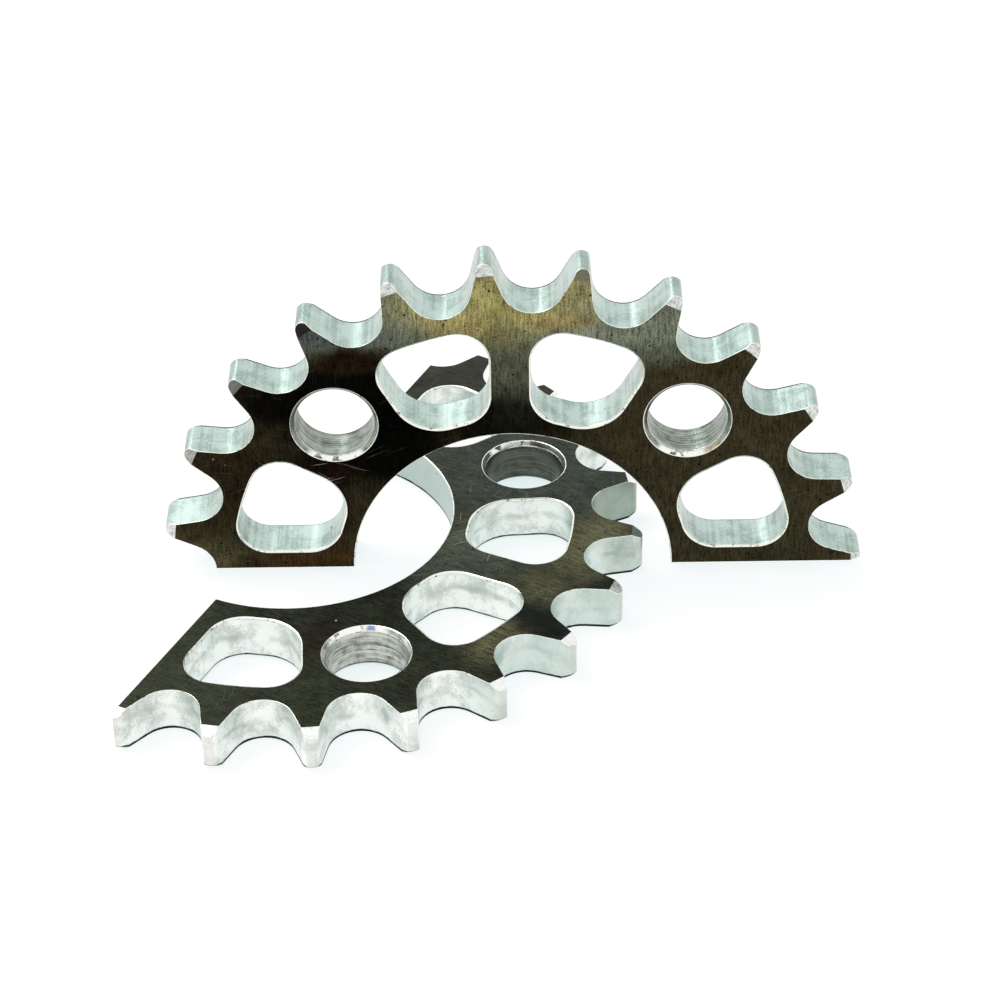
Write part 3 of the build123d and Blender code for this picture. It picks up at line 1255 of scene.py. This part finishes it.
# %% Drilled holes
HEAT_GOLD = (0.5, 0.33, 0.13)
HEAT_BLUE = (0.12, 0.2, 0.55)

standing_hole = drilled_hole(
    "standing_drilled_hole",
    bright=(0.40, 0.46, 0.40),
    dark=(0.07, 0.09, 0.07),
    painted_highlights=[(-24.5, 18.6, 10.0, 4.0), (24.5, 18.6, 10.0, 4.0)],
    tints=[(HEAT_GOLD, 0.8, 28.0, 19.5, 2.6, 2.0, 0.4)],
    overlays=[],
)
lying_hole = drilled_hole(
    "lying_drilled_hole",
    bright=(0.8, 0.82, 0.75),
    dark=(0.14, 0.15, 0.125),
    painted_highlights=[(20.0, 20.5, 9.0, 9.0), (-28.5, 20.0, 7.0, 6.0)],
    tints=[(HEAT_BLUE, 0.8, 19.3, 22.3, 1.6, 1.2, 0.4)],
    # painted dark reflection in one of the lying half's holes
    overlays=[(OLIVE, 0.85, -24.5, 24.5, 17.0, 17.0, 0.1)],
)
print("2 drilled finishes")

# %% [markdown]
# ## Turned bevels
#
# The bevels at the tips were turned, so their grooves run round the wheel's axis. A lathe tool that isn't
# quite sharp also drags little bright and dark streaks. On the standing half the bevels at the upper left are
# painted darker for shade, and one at the crown is painted gold for a reflection; the lying half's bevels are
# a lighter copy, for the light that they face. The grooves are noise read at the radius, which is the same
# all the way round a groove.

# %% Turned bevels
PAINTED_BEVEL_SHADE = (0.06, 0.07, 0.058)
GROOVES_IN_A_MM = 4
LENGTHWISE = 0.6


def turned_bevel(name, bright, dark, overlays):
    """A turned bevel with grooves round the axis, and soft patches of colour over it, which on the standing
    half are painted shade and a painted reflection.
    """
    material, tree, shader = metal(name, 0.3)
    place, x, y, z = own_axes(tree)
    radius = (x * x + y * y) ** 0.5
    across, along_x, along_y = radius * GROOVES_IN_A_MM, x * LENGTHWISE, y * LENGTHWISE
    groove_place = add(tree, "ShaderNodeCombineXYZ", X=across, Y=along_x, Z=along_y).outputs[0]
    grooves = noise(tree, groove_place, scale=1.0, detail=4.0, roughness=0.7)
    dragged = stretched(tree, place, x=3.5, y=0.9, z=2.0, turn=0.7)
    drag = noise(tree, dragged, scale=1.0, detail=3.0, roughness=0.7)
    tone = between(tree, grooves * 0.5 + drag * 0.5, 0.4, 0.58)
    colour = stain(tree, place, blend(tree, tone, dark, bright), overlays)
    # painted shade along the edge on the low side
    colour = blend(tree, painted_edge_shade(tree, place, z, 0.2), colour, SOOT_AND_SHADE)
    tree.links.new(colour, shader.inputs["Base Color"])
    roughen(tree, shader, grooves * 0.5 + drag * 0.5, depth=0.03, roughness=0.22 + tone * 0.15)
    return material


standing_bevel = turned_bevel(
    "standing_turned_bevel",
    bright=(0.80, 0.83, 0.80),
    dark=(0.40, 0.43, 0.40),
    overlays=[
        # a painted reflection at the crown, then painted shade on the bevels at the upper left
        (GOLD, 0.92, 9.0, 48.0, 8.0, 8.0, 0.2),
        (BLACK, 0.97, -29.0, 39.3, 10.0, 10.0, 0.2),
        (PAINTED_BEVEL_SHADE, 0.85, -38.5, 30.0, 8.0, 8.0, 0.2),
        (PAINTED_BEVEL_SHADE, 0.5, -45.1, 18.5, 8.0, 8.0, 0.3),
    ],
)
lying_bevel = turned_bevel(
    "lying_turned_bevel",
    bright=(0.97, 0.99, 0.97),
    dark=(0.8, 0.83, 0.8),
    overlays=[(SLATE, 0.6, -18.0, 46.0, 8.0, 8.0, 0.3)],
)
print("2 turned bevels")

# %% [markdown]
# ## Broken edges
#
# A file or a brush has taken the sharpness off every edge. These narrow strips are the brightest metal on the
# part, with a few dull breaks where the tool skipped. On the low side, the floor side of the lying half and
# the back of the standing one, they are painted dark for shade.
# Both halves were deburred in the same way, so they share this one finish. It is the fifth in each half's
# set, and the sets go to the trees by the finish names.

# %% Broken edges
FILED_BRIGHT = (0.93, 0.95, 0.88)
FILED_DULL = (0.25, 0.27, 0.22)

broken_edge, tree, shader = metal("broken_edge", 0.2)
place, _, _, z = own_axes(tree)
skips = noise(tree, place, scale=0.9, detail=4.0, roughness=0.7)
nicks = effect(tree, speck_group, place, Spacing=1.6, Size=0.25, Share=0.14)
colour = blend(tree, between(tree, skips, 0.56, 0.66), FILED_BRIGHT, FILED_DULL)
colour = blend(tree, nicks * 0.9, colour, SOOT_AND_SHADE)
# painted shade on the strips of the low side
colour = blend(tree, between(tree, z, 0.0, -1.0) * (0.85 + skips * 0.3), colour, SOOT_AND_SHADE)
tree.links.new(colour, shader.inputs["Base Color"])
roughen(tree, shader, skips - nicks, depth=0.02, roughness=0.18 + skips * 0.15)

standing_set = (standing_face, standing_wall, standing_hole, standing_bevel, broken_edge)
lying_set = (lying_face, lying_wall, lying_hole, lying_bevel, broken_edge)
STANDING_FINISHES = dict(zip(FINISH_NAMES, standing_set))
LYING_FINISHES = dict(zip(FINISH_NAMES, lying_set))
print("finishes for each half:", ", ".join(FINISH_NAMES))

# %% [markdown]
# ## From trees to a mesh
#
# A half is made by a stack of modifiers: the half's tree, a Decimate that joins the flat pieces a Boolean
# leaves, the Bevel, the placing tree, and even shading. Joining comes before the bevel, because a bevel on
# the pieces folds their thin corners over. The result is then kept as a plain mesh and the stack removed.

# %% Making a half
FLAT_WITHIN = radians(0.5)
BREAK_SEGMENTS = 2


def set_inputs(modifier, values):
    """Sets a node modifier's inputs by socket identifier, from a table of names."""
    for socket in modifier.node_group.interface.items_tree:
        if socket.in_out == "INPUT" and socket.name in values:
            modifier[socket.identifier] = values[socket.name]


def make_half(name, turn, place, finishes):
    """One half as a plain mesh in its place in the frame."""
    piece = bpy.data.objects.new(name, bpy.data.meshes.new(name))
    scene.collection.objects.link(piece)
    for finish_name in FINISH_NAMES:
        piece.data.materials.append(finishes[finish_name])
    shaping = piece.modifiers.new("shape", "NODES")
    shaping.node_group = half_tree
    set_inputs(shaping, SIZES)
    joining = piece.modifiers.new("join flat pieces", "DECIMATE")
    joining.decimate_type = "DISSOLVE"
    joining.angle_limit = FLAT_WITHIN
    bevel = piece.modifiers.new("broken edges", "BEVEL")
    bevel.limit_method = "WEIGHT"
    bevel.width = WIDEST_BREAK
    bevel.segments = BREAK_SEGMENTS
    bevel.material = EDGE
    bevel.use_clamp_overlap = False
    placing = piece.modifiers.new("place", "NODES")
    placing.node_group = place_tree
    set_inputs(placing, {"Turn": turn, "Place": place, **finishes})
    shading = piece.modifiers.new("even shading", "WEIGHTED_NORMAL")
    shading.keep_sharp = True
    graph = bpy.context.evaluated_depsgraph_get()
    mesh = bpy.data.meshes.new_from_object(piece.evaluated_get(graph), depsgraph=graph)
    piece.modifiers.clear()
    piece.data = mesh
    mesh.name = name
    # a tree leaves an empty slot before the materials that it sets
    mesh.materials.pop(index=0)
    return piece


print("edges are broken in", BREAK_SEGMENTS, "segments")

# %% [markdown]
# ## The two halves
#
# The same trees make both halves. Only their turn and their place differ: one stands up with its face to
# the front, and the other is turned flat on the floor with its teeth towards the front.

# %% Two halves
STAND_UP = (radians(90), 0.0, 0.0)
AT_ORIGIN = (0.0, 0.0, 0.0)
LIE_TURN = (0.0, 0.0, radians(-116.1))
LIE_PLACE = (-30.9 * MM, 1.3 * MM, 3.25 * MM)

standing = make_half("standing_half_dressed", STAND_UP, AT_ORIGIN, STANDING_FINISHES)
lying = make_half("lying_half_dressed", LIE_TURN, LIE_PLACE, LYING_FINISHES)
for piece in (standing, lying):
    print(piece.name, len(piece.data.vertices), "points", len(piece.data.polygons), "faces")

# %% [markdown]
# ## Seen directly
#
# A white background can be had from strong lamps, but they would bleach the metal. Here the floor and the
# world look white only to the camera and in reflections, and light the part at a plainer level. The Light
# Path node tells the two apart.

# %% Seen directly
def seen_directly(tree):
    """One for camera, glossy and transmission rays, and nothing for light that spreads."""
    path = tree.nodes.new("ShaderNodeLightPath").outputs
    glossy = Amount(tree, path["Is Glossy Ray"])
    through = Amount(tree, path["Is Transmission Ray"])
    return Amount(tree, path["Is Camera Ray"]).math("MAXIMUM", glossy).math("MAXIMUM", through)


print("camera, glossy and transmission rays count as seen directly")

# %% [markdown]
# ## Floor
#
# The floor is plain and white. Seen directly it shows a part of its white by itself, so that it reads as
# clean paper under plain light. The other part is lit in the ordinary way, which keeps the soft shadows
# that tie the halves to the floor.

# %% Floor
FLOOR_REACH = 3.0
LIT_PART = (0.40, 0.24, 0.23)
OWN_WHITE = (0.68, 0.81, 0.82)

near, far = -FLOOR_REACH, FLOOR_REACH
corners = [(near, near, 0), (far, near, 0), (far, far, 0), (near, far, 0)]
floor_mesh = bpy.data.meshes.new("floor")
floor_mesh.from_pydata(corners, [], [(0, 1, 2, 3)])
floor = bpy.data.objects.new("floor", floor_mesh)
scene.collection.objects.link(floor)

paper = bpy.data.materials.new("white_paper")
paper.use_nodes = True
tree = paper.node_tree
tree.nodes.clear()
lit = add(tree, "ShaderNodeBsdfDiffuse", Color=(*LIT_PART, 1.0))
white = add(tree, "ShaderNodeEmission", Color=(*OWN_WHITE, 1.0), Strength=seen_directly(tree))
both = tree.nodes.new("ShaderNodeAddShader")
tree.links.new(lit.outputs[0], both.inputs[0])
tree.links.new(white.outputs[0], both.inputs[1])
tree.links.new(both.outputs[0], tree.nodes.new("ShaderNodeOutputMaterial").inputs["Surface"])
floor_mesh.materials.append(paper)
print("floor is", far - near, "m wide")

# %% [markdown]
# ## Light from all round
#
# The room is a white world. Seen directly it is full white. The light that it spreads is a fifth weaker, so
# that the pale walls keep their tone and don't clip to white.

# %% World
ROOM_SEEN = 1.0
ROOM_LIGHT = 0.8

world = bpy.data.worlds.new("studio")
scene.world = world
world.use_nodes = True
tree = world.node_tree
background = tree.nodes["Background"]
background.inputs["Color"].default_value = (1.0, 1.0, 1.0, 1.0)
room = seen_directly(tree) * (ROOM_SEEN - ROOM_LIGHT) + ROOM_LIGHT
plug(tree, room, background.inputs["Strength"])
print("the room lights at", ROOM_LIGHT, "and shows at", ROOM_SEEN)

# %% [markdown]
# ## Lamps
#
# One large lamp above the left gives the shadows a side. A narrow standing lamp behind draws the bright line
# down each tooth gap, as a window or a strip light does on curved metal.

# %% Lamps
def lamp(name, width, height, power, place, target):
    """A rectangular lamp that faces a point."""
    data = bpy.data.lights.new(name, "AREA")
    data.shape = "RECTANGLE"
    data.size, data.size_y = width, height
    data.energy = power
    light = bpy.data.objects.new(name, data)
    scene.collection.objects.link(light)
    light.location = place
    light.rotation_euler = (Vector(target) - Vector(place)).to_track_quat("-Z", "Y").to_euler()
    light.visible_camera = False


lamp("key", width=0.8, height=0.8, power=8.0, place=(-0.7, 0.4, 1.1), target=(0.0, 0.0, 0.0))
lamp("strip", width=0.03, height=1.2, power=0.8, place=(-0.3, 1.05, 0.75), target=(0.0, 0.0, 0.03))
print(len(bpy.data.lights), "lamps")

# %% [markdown]
# ## Hand over
#
# Each half rides on the part's one body, and the CAD solid that it replaces is hidden.

# %% Hand over
for piece, node in ((standing, "standing_half"), (lying, "lying_half")):
    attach(piece, "root")
    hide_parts(node)
